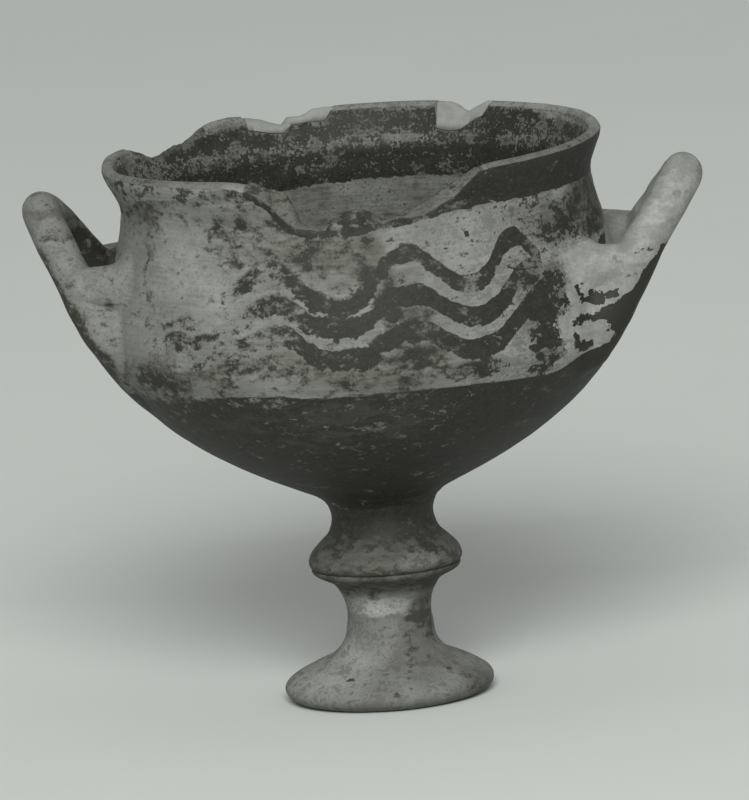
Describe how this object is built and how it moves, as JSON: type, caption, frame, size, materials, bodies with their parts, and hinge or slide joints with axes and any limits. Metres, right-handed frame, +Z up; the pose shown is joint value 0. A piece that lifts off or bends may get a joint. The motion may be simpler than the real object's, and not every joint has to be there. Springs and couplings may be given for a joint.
{
  "type": "stemmed two-handled drinking cup",
  "caption": "Stemmed ceramic drinking cup with an open bowl, a ringed stem, a spreading foot and loop handles; the rim is chipped and partly filled.",
  "frame": {"origin": "centre of the foot's resting face", "axes": "+Z up the cup's axis, +X through the thicker handle, the broken front of the rim towards -Y"},
  "size_m": [0.1948, 0.1497, 0.1613],
  "materials": {
    "painted_clay": "matt worn dark paint over grey clay",
    "handle_clay": "matt worn clay",
    "pale_handle_clay": "matt pale clay",
    "plain_clay": "matt bare clay",
    "plaster": "smooth matt plaster"
  },
  "bodies": {
    "root": {"bowl": "painted_clay", "rim_fill_left": "plaster", "rim_fill_right": "plaster", "handle_left": "handle_clay", "handle_right": "pale_handle_clay", "upper_stem": "painted_clay", "foot": "plain_clay"}
  },
  "joints": []
}
